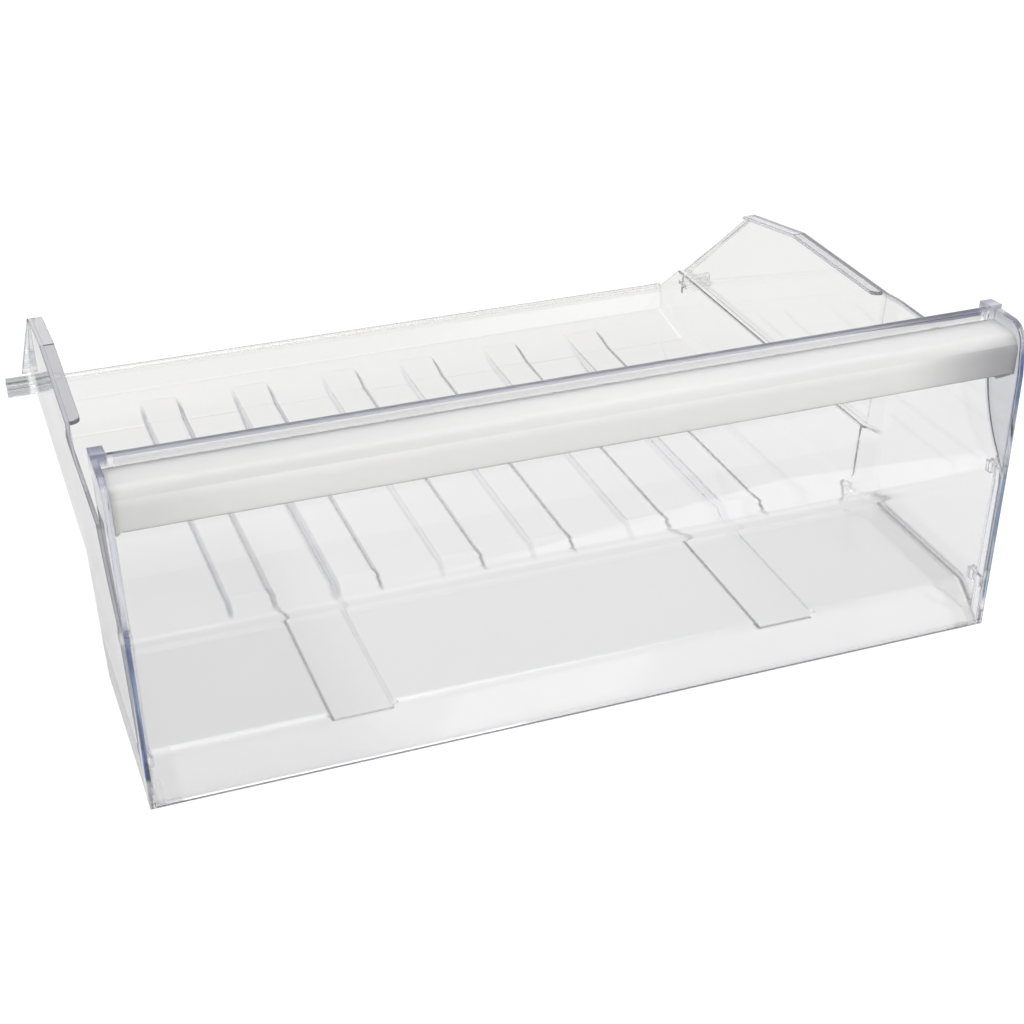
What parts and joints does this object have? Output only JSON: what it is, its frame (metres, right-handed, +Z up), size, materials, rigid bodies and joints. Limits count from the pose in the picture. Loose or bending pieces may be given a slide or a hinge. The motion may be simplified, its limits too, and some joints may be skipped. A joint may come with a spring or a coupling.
{
  "type": "freezer drawer",
  "caption": "Clear plastic freezer drawer: low-backed basket with ribbed floor and side ledges, clip-on front panel with a full-width grip.",
  "frame": {"origin": "middle of the footprint at the height of the front panel's bottom edge", "axes": "+X along the width to the right seen from the front, +Y from the front panel to the rear wall, +Z up"},
  "size_m": [0.4528, 0.3856, 0.1673],
  "materials": {
    "clear_basket": "clear, polished, slightly warm",
    "clear_panel": "clear, polished, blue at the edges",
    "satin_grip": "translucent, fine satin"
  },
  "bodies": {
    "root": {"basket": "clear_basket", "front_panel": "clear_panel", "grip_strip": "satin_grip"}
  },
  "joints": []
}
